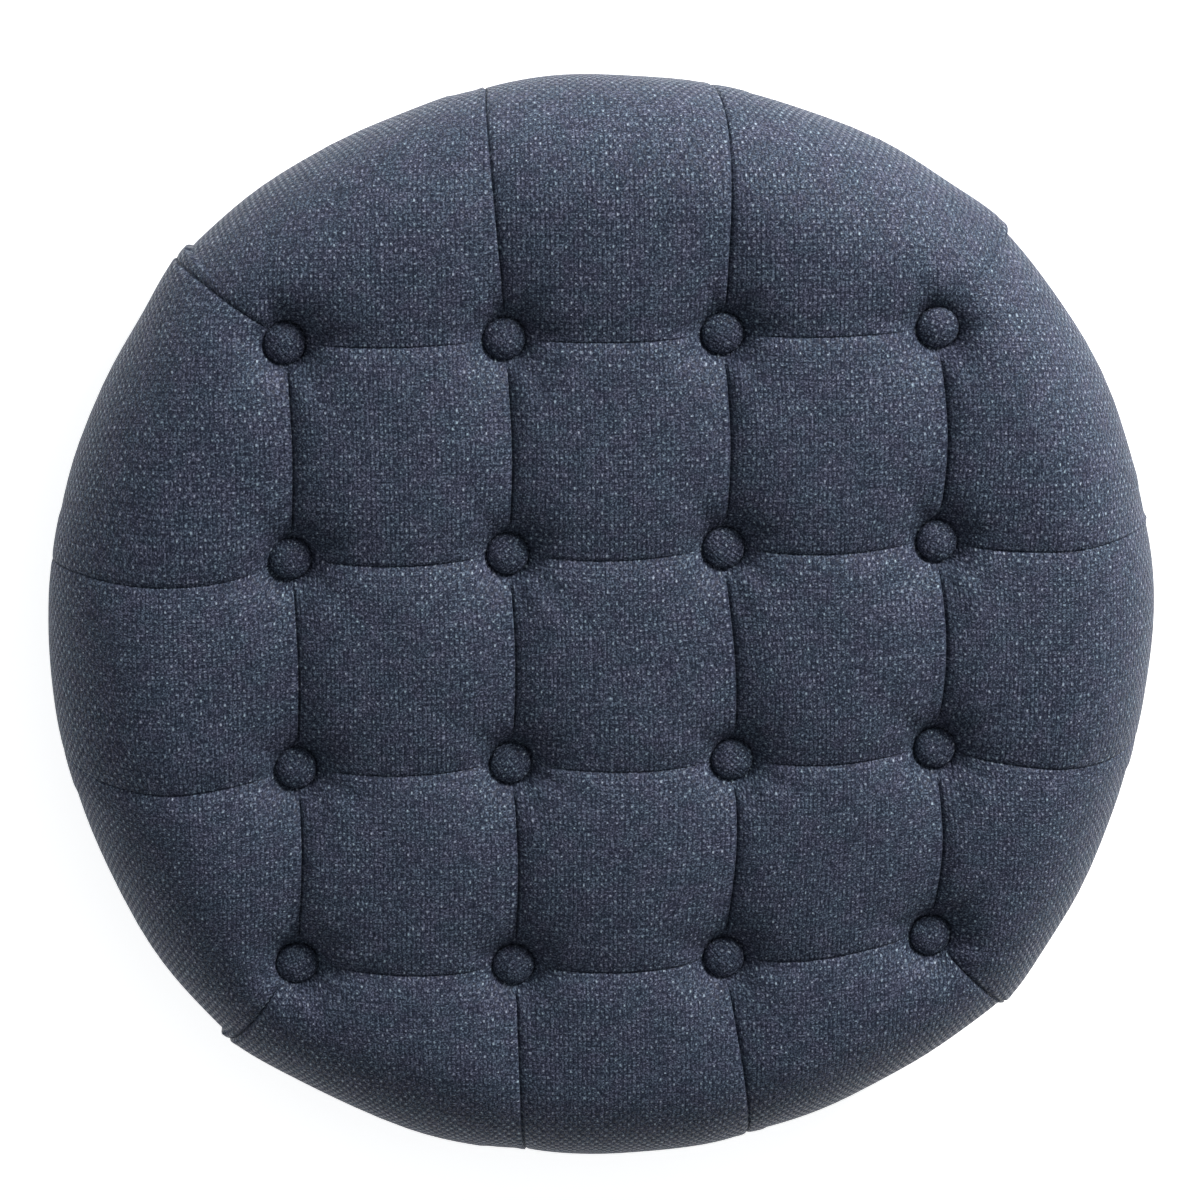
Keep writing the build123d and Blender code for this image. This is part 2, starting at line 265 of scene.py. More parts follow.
def uneven(q):
    """A slow rise and fall of the padding."""
    return sum(size * np.sin(q[:, 0] * kx + q[:, 1] * ky + phase) for kx, ky, phase, size in PADDING_WAVES)


def bow_and_tie(q):
    """Plan shift of the cloth: pleats bow between their buttons, and some buttons are off their places."""
    half = GRID[3]
    inside = np.clip(q, -half, half)
    cell = (inside - GRID[0]) / PITCH
    near_line = np.cos(pi * (cell - np.round(cell))) ** 2
    between = np.sin(pi * (cell - np.floor(cell))) ** 2
    fade = 1 - smooth(0, 60, np.linalg.norm(q - inside, axis=1))
    move = np.zeros_like(q)
    move[:, 0] = np.interp(inside[:, 0], GRID, BOW_RIGHT) * near_line[:, 0] * between[:, 1] * fade
    move[:, 1] = -np.interp(inside[:, 1], GRID, BOW_DOWN) * near_line[:, 1] * between[:, 0] * fade
    for k, (sag, lowest_at) in SIDE_SAG.items():
        d, t = along_segment(q, ray_starts()[k], polar(S_WIDEST, BEARINGS[k]))
        share = (1 - (1 - np.minimum(t / lowest_at, 1)) ** 2) * (1 - smooth(0.84, 1.0, t))
        move[:, 1] -= sag * share * np.exp(-((d / SIDE_SAG_REACH) ** 2))
    for name, shift in HAND_TIED_SHIFTS.items():
        from_tie = np.linalg.norm(q - np.array(BUTTONS[name]), axis=1)
        move = move + np.array(shift) * (1 - smooth(TIE_SHIFT_NEAR, TIE_SHIFT_FAR, from_tie))[:, None]
    return move


def button_centre(name):
    return np.array(BUTTONS[name]) + HAND_TIED_SHIFTS.get(name, (0.0, 0.0))


def seat_height(centre):
    """Height of the cloth under a button."""
    return CUSHION_HEIGHT - CROWN_RISE * (centre @ centre) / CROWN_RIM**2 - TUFT_DEPTH


# ---- a tufted layer

WELL_RADIUS = 10.6         # of the cloth's flat bottom under each button
WELL_WIDENING = 0.7        # of the well in a deeper layer, for each millimetre of inset
FUNNEL_REACH = 8.0
FUNNEL_POWER = 0.82
FUNNEL_END = (40, 62)
FOLD_STARTS = (10.5, 19)   # a fold fades in between these distances from a button


def tufted(q, inset, fold_across=None, fold_side=None, pleat_share=1.0, floor_drop=0.0, fold_size=None):
    """Places of the flat cloth's points q in the layer that lies inset under the cloth's outside."""
    s = np.linalg.norm(q, axis=1)
    from_button = np.min([np.linalg.norm(q - np.array(c), axis=1) for c in BUTTONS.values()], axis=0)
    moved = q + bow_and_tie(q) * (1 - smooth(S_RIM, S_WIDEST, s))[:, None]
    down = pleat_valleys(q) * pleat_share + uneven(q) * (1 - smooth(S_WIDEST, S_CORNER, s))
    if fold_across is not None:
        size = fold_size * smooth(*FOLD_STARTS, from_button) * (1 - 0.5 * smooth(S_WIDEST, S_HEM, s))
        moved = moved + fold_side * (np.interp(fold_across, FOLD_ACROSS, FOLD_SHIFT) * size)[:, None]
        down = down + np.interp(fold_across, FOLD_ACROSS, FOLD_SINK) * size
    moved_s = np.linalg.norm(moved, axis=1)
    heading = moved / np.maximum(moved_s, 1e-6)[:, None]
    radius, height, psi = outline(np.minimum(moved_s, S_END), inset)
    side_share = np.sin(psi) ** 2 * (1 - smooth(S_CORNER, S_HEM, moved_s))
    under = smooth(S_CORNER, S_HEM, moved_s)
    out = outward_bulge(q) * side_share - down * (1 - under)
    place = np.empty((len(q), 3))
    place[:, :2] = heading * (radius + out * np.sin(psi))[:, None]
    place[:, 2] = height + out * np.cos(psi)
    for name, c in BUTTONS.items():
        centre = button_centre(name)
        rho = np.linalg.norm(q - np.array(c), axis=1)
        well = WELL_RADIUS + WELL_WIDENING * inset
        swirl = np.arctan2(q[:, 1] - c[1], q[:, 0] - c[0])
        phase = c[0] * 0.71 + c[1] * 0.37
        gather = 0.09 * np.cos(7 * swirl + phase) + 0.06 * np.cos(11 * swirl - 2 * phase)
        past = np.maximum(rho - well, 0)
        pull = np.exp(-((past / FUNNEL_REACH) ** FUNNEL_POWER) * (1 + gather * smooth(0, 9, past)))
        pull *= 1 - smooth(*FUNNEL_END, rho)
        floor = seat_height(centre) - floor_drop
        place[:, 2] = place[:, 2] * (1 - pull) + floor * pull
    return place


# ---- the mesh of a layer: a square middle and a ring round it, with lines along every pleat

NEAR_FOLD = [0.15, 0.8, 1.8, 3.0]    # lines this far each side of a pleat hold its fold's shape


def graded(limit, first=1.2, growth=1.16, largest=5.6):
    """Offsets from a pleat to the middle of a panel, closest by the pleat."""
    offsets, step = list(NEAR_FOLD), first
    while offsets[-1] + step < limit - step * 0.6:
        offsets.append(offsets[-1] + step)
        step = min(step * growth, largest)
    return offsets


def block_lines():
    """Line positions across the square middle, left to right."""
    half = graded(PITCH / 2)
    beyond = NEAR_FOLD + [4.4, BLOCK_MARGIN - 0.15, BLOCK_MARGIN]
    lines = [GRID[0] - b for b in beyond[::-1]]
    for left in GRID[:-1]:
        lines += [left] + [left + o for o in half] + [left + PITCH / 2]
        lines += [left + PITCH - o for o in half[::-1]]
    lines += [GRID[3]] + [GRID[3] + b for b in beyond]
    return np.array(lines)


LINES = block_lines()
RING_STEPS = np.array([2.0] + [o + 1.0 for o in graded(62)[4:]])


def ring_rows():
    """Fractions of the way from the square middle to the widest part, then distances along the cloth."""
    reach = S_WIDEST - GRID[3] - BLOCK_MARGIN
    far = np.linspace(RING_STEPS[-1], reach, 16)[1:]
    down = np.concatenate([
        np.linspace(S_WIDEST, S_CORNER, 10)[1:],
        np.linspace(S_CORNER, S_HEM, 5)[1:],
        np.linspace(S_HEM, S_END, 5)[1:],
    ])
    return np.concatenate([RING_STEPS, far]) / reach, down


def middle_grid():
    """The square middle: points, nearest fold's offset, its side and size, and the points' numbers."""
    n = len(LINES)
    x, y = [values.ravel() for values in np.meshgrid(LINES, LINES)]
    off_x, off_y = x[:, None] - GRID, GRID - y[:, None]
    near_x = off_x[np.arange(n * n), np.abs(off_x).argmin(1)]
    near_y = off_y[np.arange(n * n), np.abs(off_y).argmin(1)]
    in_column = np.abs(near_x) <= np.abs(near_y)
    side = np.zeros((n * n, 2))
    side[in_column, 0] = 1
    side[~in_column, 1] = -1
    row_size = np.where(y > GRID[2] + PITCH / 2, BACK_ROW_SHARE, 1) * FOLD_STRENGTH["row"]
    size = np.where(in_column, FOLD_STRENGTH["column"], row_size)
    across = np.where(in_column, near_x, near_y)
    return np.stack([x, y], 1), across, side, size, np.arange(n * n).reshape(n, n)


def ring_spread():
    """For each point round the square's edge, clockwise: its pleat, its offset there and at the rim."""
    edge = LINES[-1] - LINES[0]
    position = np.concatenate([LINES[:-1] + k * edge for k in range(4)])
    stations = np.array([k * edge + along for k in range(4) for along in (LINES[0], GRID[1], GRID[2])])
    total = 4 * edge
    gap = (position[:, None] - stations + total / 2) % total - total / 2
    pleat = np.abs(gap).argmin(1)
    offset = gap[np.arange(len(position)), pleat]
    other = (pleat + np.where(offset >= 0, 1, -1)) % len(stations)
    half_inner = np.abs((stations[other] - stations[pleat] + total / 2) % total - total / 2) / 2
    half_outer = np.abs((BEARINGS[other] - BEARINGS[pleat] + pi) % (2 * pi) - pi) / 2 * S_WIDEST
    share = np.abs(offset) / half_inner
    at_rim = np.sign(offset) * (np.abs(offset) + (half_outer - half_inner) * share**2)
    return pleat, offset, at_rim


def flat_grid():
    """The flat cloth's points, faces and the nearest fold's offset, side and size at each point."""
    middle, middle_across, middle_side, middle_size, index = middle_grid()
    q, across, side, size = [middle], [middle_across], [middle_side], [middle_size]
    corners = [index[:-1, :-1], index[:-1, 1:], index[1:, 1:], index[1:, :-1]]
    faces = [np.stack(corners, -1).reshape(-1, 4)]

    previous = np.concatenate([index[-1, :-1], index[:0:-1, -1], index[0, :0:-1], index[:-1, 0]])
    start = middle[previous]
    pleat, offset, at_rim = ring_spread()
    bearing = BEARINGS[pleat] - at_rim / S_WIDEST
    target = polar(S_WIDEST, bearing)
    clockwise = np.stack([np.sin(BEARINGS[pleat]), -np.cos(BEARINGS[pleat])], 1)
    strength = np.array([FOLD_STRENGTH[ray_kind(k)] for k in range(len(BEARINGS))])
    strength[SHALLOW_CORNER] *= SHALLOW_SHARE

    fractions, downs = ring_rows()
    rows = [start + (target - start) * f for f in fractions] + [polar(s, bearing) for s in downs]
    offsets = [offset + (at_rim - offset) * f for f in fractions] + [at_rim] * len(downs)
    count = len(middle)
    for row, row_offset in zip(rows, offsets):
        current = count + np.arange(len(start))
        count += len(start)
        q.append(row)
        across.append(row_offset * LAPS[pleat])
        side.append(clockwise * LAPS[pleat][:, None])
        size.append(strength[pleat])
        quads = np.stack([previous, np.roll(previous, -1), np.roll(current, -1), current], -1)
        faces.append(quads[:, ::-1])
        previous = current
    return {
        "q": np.concatenate(q),
        "faces": np.concatenate(faces),
        "across": np.concatenate(across),
        "side": np.concatenate(side),
        "size": np.concatenate(size),
        "last": previous,
    }


FLAT = flat_grid()


# ---- building Blender objects

def new_object(name, places, faces, material, smooth_shaded=True):
    mesh = bpy.data.meshes.new(name)
    mesh.from_pydata((places * MM).tolist(), [], [list(map(int, f)) for f in faces])
    make_outward = bmesh.new()
    make_outward.from_mesh(mesh)
    bmesh.ops.recalc_face_normals(make_outward, faces=make_outward.faces)
    make_outward.to_mesh(mesh)
    make_outward.free()
    mesh.update()
    mesh.polygons.foreach_set("use_smooth", [smooth_shaded] * len(mesh.polygons))
    mesh.materials.append(material)
    piece = bpy.data.objects.new(name, mesh)
    bpy.context.scene.collection.objects.link(piece)
    return piece


def store_cloth_coordinates(piece, flat_mm):
    """The place of each point on the flat cloth, in metres, for the weave."""
    attribute = piece.data.attributes.new("cloth", "FLOAT_VECTOR", "POINT")
    flat = np.zeros((len(flat_mm), 3))
    flat[:, :2] = flat_mm * MM
    attribute.data.foreach_set("vector", flat.ravel())


# ---- material helpers

class Shader:
    """A material's nodes, added one at a time."""

    def __init__(self, name):
        self.material = bpy.data.materials.new(name)
        self.material.use_nodes = True
        self.tree = self.material.node_tree
        self.surface = self.tree.nodes["Principled BSDF"]

    def node(self, kind, inputs=None, **settings):
        made = self.tree.nodes.new(kind)
        for key, value in settings.items():
            setattr(made, key, value)
        for key, value in (inputs or {}).items():
            self.put(made.inputs[key], value)
        return made

    def put(self, socket, value):
        if isinstance(value, bpy.types.NodeSocket):
            self.tree.links.new(value, socket)
        else:
            socket.default_value = value

    def math(self, operation, a, b=0.0, c=0.0):
        return self.node("ShaderNodeMath", {0: a, 1: b, 2: c}, operation=operation).outputs[0]

    def vector(self, x, y=0.0, z=0.0):
        return self.node("ShaderNodeCombineXYZ", {"X": x, "Y": y, "Z": z}).outputs[0]

    def noise(self, place, scale, detail=2.0, roughness=0.5):
        inputs = {"Vector": place, "Scale": scale, "Detail": detail, "Roughness": roughness}
        return self.node("ShaderNodeTexNoise", inputs).outputs["Fac"]

    def mix(self, share, a, b, **settings):
        made = self.node("ShaderNodeMix", {0: share}, data_type="RGBA", **settings)
        self.put(made.inputs[6], a)
        self.put(made.inputs[7], b)
        return made.outputs[2]

    def tinted(self, share, colour, tint):
        """The colour times the tint, where the share is 1."""
        return self.mix(share, colour, tint, blend_type="MULTIPLY")

    def ramp(self, value, low, high):
        """Straight ramp from 0 at low to 1 at high."""
        made = self.node("ShaderNodeMapRange", {"Value": value, "From Min": low, "From Max": high})
        return made.outputs["Result"]

    def object_place(self):
        return self.node("ShaderNodeTexCoord").outputs["Object"]

    def split(self, vector):
        return self.node("ShaderNodeSeparateXYZ", {0: vector}).outputs

    def bump(self, height, strength, distance):
        made = self.node("ShaderNodeBump", {"Height": height, "Strength": strength, "Distance": distance})
        self.put(self.surface.inputs["Normal"], made.outputs[0])

    def set(self, **values):
        for name, value in values.items():
            self.put(self.surface.inputs[name.replace("_", " ").title()], value)


def rgb(r, g, b):
    return (r, g, b, 1.0)


# ---- upholstery cloth: a two-and-two rib weave of mixed yarns; scales are per metre

WARP_PITCH = 2.26 * MM
WEFT_PITCH = 1.5 * MM
YARN_DARK = rgb(0.0084, 0.0112, 0.0222)
YARN_MID = rgb(0.0264, 0.0330, 0.0560)
YARN_LIGHT = rgb(0.140, 0.171, 0.236)
# pale slub yarn colour, also a painted glint on the tops of the weft floats
SLUB_AND_GLINT = rgb(0.33, 0.40, 0.47)
# painted shade in the gaps between yarns
GAP_SHADE = rgb(0.0062, 0.0076, 0.0138)
WARM_CAST = rgb(1.08, 0.985, 1.02)
COOL_CAST = rgb(0.94, 1.02, 1.0)
CAST_SCALE = 70.0
FIBRE_SCALE = 1150.0


def cloth_material(name):
    """Warp ends and weft picks that pass over each other in pairs, in yarns of mixed fibres."""
    m = Shader(name)
    flat = m.node("ShaderNodeAttribute", attribute_name="cloth").outputs["Vector"]
    parts = m.split(flat)
    wander = m.math("SUBTRACT", m.noise(flat, 150.0), 0.5)
    drift_along = m.math("SUBTRACT", m.noise(flat, 31.0), 0.5)
    x = m.math("MULTIPLY_ADD", wander, 0.0007, parts[0])
    y = m.math("MULTIPLY_ADD", drift_along, 0.0016, parts[1])
    a = m.math("DIVIDE", x, WARP_PITCH)
    b = m.math("DIVIDE", y, WEFT_PITCH)

    # ends of the warp take turns to lie over two picks and under two
    end = m.math("FLOOR", a)
    in_end = m.math("SUBTRACT", m.math("FRACT", a), 0.5)
    stagger = m.math("MULTIPLY", m.math("FLOORED_MODULO", end, 2.0), 2.0)
    staggered = m.math("ADD", b, stagger)
    phase = m.math("FLOORED_MODULO", staggered, 4.0)
    warp_up = m.math("LESS_THAN", phase, 2.0)
    crossing = m.math("ABSOLUTE", m.math("SINE", m.math("MULTIPLY", phase, pi / 2)))
    across_end = m.math("COSINE", m.math("MULTIPLY", in_end, pi))
    warp_height = m.math("MULTIPLY", across_end, m.math("MULTIPLY_ADD", crossing, 0.55, 0.45))
    weft_height = m.math("MULTIPLY", m.math("MULTIPLY", crossing, across_end), 0.85)
    height = m.node("ShaderNodeMix", {0: warp_up, 2: weft_height, 3: warp_height}).outputs[0]

    # each yarn's tone wanders along it, with fine fibres and a few knots
    picks = m.math("FLOOR", m.math("MULTIPLY", b, 0.5))
    along_end = m.vector(m.math("MULTIPLY", end, 7.31), m.math("MULTIPLY", y, 170.0))
    warp_tone = m.noise(along_end, 1.0, 3.0, 0.6)
    along_pick = m.vector(m.math("MULTIPLY", x, 80.0), m.math("MULTIPLY", picks, 5.77), 4.0)
    weft_tone = m.noise(along_pick, 1.0, 3.0, 0.6)
    fibre = m.noise(flat, FIBRE_SCALE, 2.0, 0.7)
    grain = m.vector(m.math("FLOOR", m.math("MULTIPLY", a, 3.0)), m.math("FLOOR", m.math("MULTIPLY", b, 2.0)))
    knot = m.node("ShaderNodeTexWhiteNoise", {"Vector": grain}, noise_dimensions="3D").outputs["Value"]
    tone = m.node("ShaderNodeMix", {0: warp_up, 2: weft_tone, 3: warp_tone}).outputs[0]
    tone = m.math("MULTIPLY_ADD", tone, 0.25, 0.375)
    tone = m.math("MULTIPLY_ADD", m.math("SUBTRACT", fibre, 0.5), 1.3, tone)
    tone = m.math("MULTIPLY_ADD", m.math("SUBTRACT", knot, 0.5), 0.34, tone)

    # pale slubs show on the weft floats, with a painted glint on each float's top, and the gaps between yarns
    # get painted shade
    colour = m.mix(m.ramp(tone, 0.22, 0.55), YARN_DARK, YARN_MID)
    colour = m.mix(m.ramp(tone, 0.5, 0.85), colour, YARN_LIGHT)
    slub = m.ramp(m.math("MULTIPLY_ADD", knot, 0.5, weft_tone), 0.72, 1.15)
    # the top of each weft float: the pale colour here is a painted glint as well as slub yarn
    weft_top_glint = m.math("MULTIPLY", m.math("SUBTRACT", 1.0, warp_up), m.ramp(height, 0.56, 0.8))
    colour = m.mix(m.math("MULTIPLY", slub, weft_top_glint), colour, SLUB_AND_GLINT)
    # painted shade: darker where the yarn sinks into the gaps between yarns
    clear_of_gap_shade = m.ramp(height, 0.0, 0.6)
    colour = m.mix(m.math("MULTIPLY_ADD", clear_of_gap_shade, 0.32, 0.68), GAP_SHADE, colour)
    cast = m.noise(flat, CAST_SCALE, 3.0, 0.6)
    colour = m.tinted(m.ramp(cast, 0.5, 0.62), colour, WARM_CAST)
    colour = m.tinted(m.ramp(cast, 0.5, 0.38), colour, COOL_CAST)
    m.set(Base_Color=colour, Roughness=m.math("MULTIPLY_ADD", warp_up, 0.45, 0.4))
    m.surface.inputs["Specular IOR Level"].default_value = 0.12
    m.surface.inputs["Sheen Weight"].default_value = 0.04
    m.surface.inputs["Sheen Roughness"].default_value = 0.5
    m.surface.inputs["Sheen Tint"].default_value = rgb(0.62, 0.7, 0.86)
    m.bump(m.math("MULTIPLY_ADD", fibre, 1.3, height), 0.85, 0.00034)
    return m.material


# ---- the other materials

def dust_cloth_material():
    m = Shader("dust_cloth")
    place = m.object_place()
    fibres = m.noise(place, 900.0, 4.0, 0.7)
    cells = m.node("ShaderNodeTexVoronoi", {"Vector": place, "Scale": 620.0}).outputs["Distance"]
    bonded = m.ramp(cells, 0.12, 0.3)
    shade = m.mix(fibres, rgb(0.011, 0.011, 0.012), rgb(0.032, 0.032, 0.034))
    m.set(Base_Color=m.mix(bonded, rgb(0.02, 0.02, 0.021), shade), Roughness=0.78)
    m.surface.inputs["Sheen Weight"].default_value = 0.12
    m.bump(m.math("MULTIPLY_ADD", bonded, 0.6, fibres), 0.5, 0.0003)
    return m.material


PLY = 2.4 * MM


def plywood_material():
    m = Shader("plywood")
    place = m.object_place()
    parts = m.split(place)
    stretched = m.vector(m.math("MULTIPLY", parts[0], 5.0), m.math("MULTIPLY", parts[1], 60.0), parts[2])
    grain = m.noise(stretched, 1.6, 6.0, 0.62)
    along_grain = m.vector(m.math("MULTIPLY", parts[0], 40.0), m.math("MULTIPLY", parts[1], 900.0), 0.0)
    pores = m.noise(along_grain, 1.0, 2.0)
    face = m.mix(m.ramp(grain, 0.3, 0.7), rgb(0.56, 0.38, 0.2), rgb(0.72, 0.54, 0.32))
    face = m.mix(m.ramp(pores, 0.6, 0.75), face, rgb(0.4, 0.25, 0.12))
    ply = m.math("DIVIDE", parts[2], PLY)
    plies = m.math("LESS_THAN", m.math("FLOORED_MODULO", ply, 2.0), 1.0)
    edge = m.mix(plies, rgb(0.42, 0.27, 0.13), rgb(0.66, 0.48, 0.28))
    normal = m.split(m.node("ShaderNodeNewGeometry").outputs["Normal"])
    upright = m.math("LESS_THAN", m.math("ABSOLUTE", normal[2]), 0.5)
    m.set(Base_Color=m.mix(upright, face, edge), Roughness=0.62)
    m.bump(m.math("ADD", grain, pores), 0.25, 0.0002)
    return m.material


def metal_material(name, colour, roughness, scratch_scale):
    m = Shader(name)
    place = m.object_place()
    parts = m.split(place)
    drawn = m.noise(m.vector(m.math("MULTIPLY", parts[0], 6.0), parts[1], parts[2]), scratch_scale, 3.0)
    dull = m.noise(place, 210.0, 3.0)
    tarnish = [channel * 0.62 for channel in colour[:3]] + [1.0]
    m.set(Base_Color=m.mix(m.ramp(dull, 0.45, 0.75), colour, tarnish), Metallic=1.0)
    m.put(m.surface.inputs["Roughness"], m.math("MULTIPLY_ADD", dull, 0.25, roughness))
    m.bump(drawn, 0.2, 0.00006)
    return m.material


def twine_material():
    m = Shader("waxed_twine")
    place = m.object_place()
    parts = m.split(place)
    lay = m.math("ADD", m.math("ADD", parts[0], parts[1]), m.math("MULTIPLY", parts[2], 1.4))
    strands = m.math("ABSOLUTE", m.math("SINE", m.math("MULTIPLY", lay, 3400.0)))
    hair = m.noise(place, 2400.0, 3.0)
    # painted shade: the twine is darker in the grooves between strands and paler on their crests, with fibre
    # noise
    lit = m.math("MULTIPLY", strands, hair)
    m.set(Base_Color=m.mix(lit, rgb(0.36, 0.3, 0.2), rgb(0.74, 0.67, 0.52)), Roughness=0.55)
    m.bump(strands, 0.6, 0.0002)
    return m.material


def batting_material():
    m = Shader("batting")
    place = m.object_place()
    fibres = m.noise(place, 420.0, 6.0, 0.75)
    clumps = m.noise(place, 46.0, 3.0)
    lit = m.math("MULTIPLY", fibres, clumps)
    m.set(Base_Color=m.mix(lit, rgb(0.72, 0.72, 0.7), rgb(0.93, 0.93, 0.91)), Roughness=0.95)
    m.surface.inputs["Sheen Weight"].default_value = 0.35
    m.bump(m.math("MULTIPLY_ADD", clumps, 2.0, fibres), 0.8, 0.0012)
    return m.material


def foam_material():
    m = Shader("foam")
    place = m.object_place()
    cells = m.node("ShaderNodeTexVoronoi", {"Vector": place, "Scale": 900.0}).outputs["Distance"]
    age = m.noise(place, 9.0, 3.0)
    body = m.mix(m.ramp(age, 0.35, 0.7), rgb(0.86, 0.78, 0.5), rgb(0.74, 0.62, 0.32))
    # painted shade: the foam is darker down in its pores
    m.set(Base_Color=m.mix(m.ramp(cells, 0.1, 0.5), rgb(0.5, 0.41, 0.2), body), Roughness=0.92)
    m.bump(cells, 0.8, 0.0005)
    return m.material


# ---- soft layers

def join_shells(outer, outer_faces, outer_last, inner, inner_faces, inner_last):
    """Places and faces of the closed shell between an outer and an inner surface of the same grid."""
    shift = len(outer)
    strip = np.stack(
        [outer_last, np.roll(outer_last, -1), np.roll(inner_last, -1) + shift, inner_last + shift], -1
    )[:, ::-1]
    faces = np.concatenate([outer_faces, inner_faces[:, ::-1] + shift, strip])
    return np.concatenate([outer, inner]), faces


def make_cover(material):
    outer = tufted(FLAT["q"], 0, FLAT["across"], FLAT["side"], fold_size=FLAT["size"])
    inner = tufted(FLAT["q"], CLOTH, floor_drop=CLOTH)
    places, faces = join_shells(outer, FLAT["faces"], FLAT["last"], inner, FLAT["faces"], FLAT["last"])
    cover = new_object("tufted_cloth_cover", places, faces, material)
    store_cloth_coordinates(cover, np.concatenate([FLAT["q"], FLAT["q"]]))
    return cover


def make_button(name, material):
    """A cloth-covered button: a soft dome, a rim drawn in under it and gathers round the tuck."""
    centre = button_centre(name)
    seat = seat_height(centre)
    turns = 96
    dome = np.linspace(0, 1, 15)
    lean = 0.35 * np.array([sin(centre[0] * 1.3), cos(centre[1] * 1.7)])
    profile = [(BUTTON_RADIUS * 0.93 * t, 6.3 - 2.6 * t**2.3) for t in dome]
    profile += [(9.75, 3.05), (10.1, 2.3), (10.2, 1.5), (10.0, 0.75), (9.4, 0.2), (8.6, -0.05), (7.6, 0.0)]
    profile += [(7.5, 0.5), (7.6, 1.0), (8.8, 1.05), (9.0, 1.6), (8.9, 2.3), (8.2, 3.0)]
    profile += [(8.2 * t, 5.2 - 2.2 * t**2.3) for t in dome[-2::-2]]
    angle = np.arange(turns) * 2 * pi / turns
    twist = centre[0] * 0.013 + centre[1] * 0.029
    places, flat, faces = [], [], []
    travelled, before = 0.0, profile[0]
    for radius, height in profile:
        travelled += sqrt((radius - before[0]) ** 2 + (height - before[1]) ** 2)
        before = (radius, height)
        gathers = 0.13 * smooth(7, 10, radius) * np.cos(17 * angle + twist * 9)
        spread = radius + gathers * (height < 3.4) + 0.12 * np.cos(2 * angle + twist)
        tilt = (lean[0] * np.cos(angle) + lean[1] * np.sin(angle)) * radius / BUTTON_RADIUS
        places.append(np.stack([
            centre[0] + spread * np.cos(angle),
            centre[1] + spread * np.sin(angle),
            seat + height + tilt * smooth(0, 3, height),
        ], 1))
        around = angle + twist
        flat.append(travelled * np.stack([np.cos(around), np.sin(around)], 1) + centre)
    rows = len(profile)
    index = np.arange(rows * turns).reshape(rows, turns)
    for low, high in zip(index[:-1], index[1:]):
        faces.append(np.stack([low, high, np.roll(high, -1), np.roll(low, -1)], -1))
    piece = new_object(f"cloth_button_{name}", np.concatenate(places), np.concatenate(faces), material)
    store_cloth_coordinates(piece, np.concatenate(flat))
    tidy = bmesh.new()
    tidy.from_mesh(piece.data)
    bmesh.ops.remove_doubles(tidy, verts=tidy.verts, dist=0.02 * MM)
    tidy.to_mesh(piece.data)
    tidy.free()
    return piece


FOAM_PLEAT_SHARE = 0.8     # the foam's pleats are this much as deep as the cloth's
FOAM_LEAVES_ROWS = 10      # the foam's side ends this many rows of the ring above the hem


def make_batting(material):
    """The batting: outside, just under the cloth and turned under the board; inside, on the foam."""
    outer = tufted(FLAT["q"], CLOTH + 0.2, floor_drop=CLOTH + 0.2)
    outer_radius = np.linalg.norm(outer[:, :2], axis=1)
    past_turn = (outer[:, 2] < BOARD_BOTTOM) & (outer_radius < BATTING_TURN_RADIUS)
    keep = np.where(past_turn, BATTING_TURN_RADIUS / np.maximum(outer_radius, 1), 1)
    outer[:, :2] *= keep[:, None]
    inner = tufted(FLAT["q"], FOAM_INSET, pleat_share=FOAM_PLEAT_SHARE, floor_drop=4.5)
    s = np.linalg.norm(FLAT["q"], axis=1)
    radius = np.linalg.norm(inner[:, :2], axis=1)
    heading = inner[:, :2] / np.maximum(radius, 1e-6)[:, None]
    low = (inner[:, 2] < BOARD_TOP + 1) & (s > S_WIDEST)
    edge = smooth(S_CORNER - 12, S_HEM, s)
    new_radius = np.where(s > S_HEM, np.linalg.norm(outer[:, :2], axis=1), BOARD_RADIUS + 0.6)
    new_height = np.where(s > S_HEM, BOARD_BOTTOM - 0.1, BOARD_TOP + (BOARD_BOTTOM - 0.1 - BOARD_TOP) * edge)
    inner[low, :2] = (heading * new_radius[:, None])[low]
    inner[low, 2] = new_height[low]
    places, faces = join_shells(outer, FLAT["faces"], FLAT["last"], inner, FLAT["faces"], FLAT["last"])
    return new_object("batting_layer", places, faces, material)


def make_foam(material):
    """The foam block: cut on top to the tufting, standing on the board."""
    ring = len(FLAT["last"])
    cut = len(FLAT["q"]) - FOAM_LEAVES_ROWS * ring
    q = FLAT["q"][:cut]
    places = tufted(q, FOAM_INSET + 0.4, pleat_share=FOAM_PLEAT_SHARE, floor_drop=5.0)
    places[:, 2] = np.maximum(places[:, 2], BOARD_TOP + 0.05)
    faces = [list(map(int, f)) for f in FLAT["faces"] if f.max() < cut]
    last = np.arange(cut - ring, cut)
    places[last, 2] = BOARD_TOP + 0.05
    faces.append([int(i) for i in last])
    return new_object("foam_block", places, faces, material)


def drill_dust_cover(cover, bearing):
    """A hole over the tee nut at that bearing."""
    cutter_mesh = bpy.data.meshes.new("cutter")
    drill = bmesh.new()
    hole_radius, nut_radius = DUST_COVER_HOLE * MM, NUT_CIRCLE / 2 * MM
    bmesh.ops.create_cone(
        drill, cap_ends=True, segments=48, radius1=hole_radius, radius2=hole_radius, depth=0.01,
        matrix=Matrix.Translation((nut_radius * cos(bearing), nut_radius * sin(bearing), 0)),
    )
    drill.to_mesh(cutter_mesh)
    drill.free()
    cutter = bpy.data.objects.new("cutter", cutter_mesh)
    bpy.context.scene.collection.objects.link(cutter)
    hole = cover.modifiers.new("hole", "BOOLEAN")
    hole.operation = "DIFFERENCE"
    hole.solver = "EXACT"
    hole.object = cutter
    bake_modifiers(cover)
    bpy.data.objects.remove(cutter)


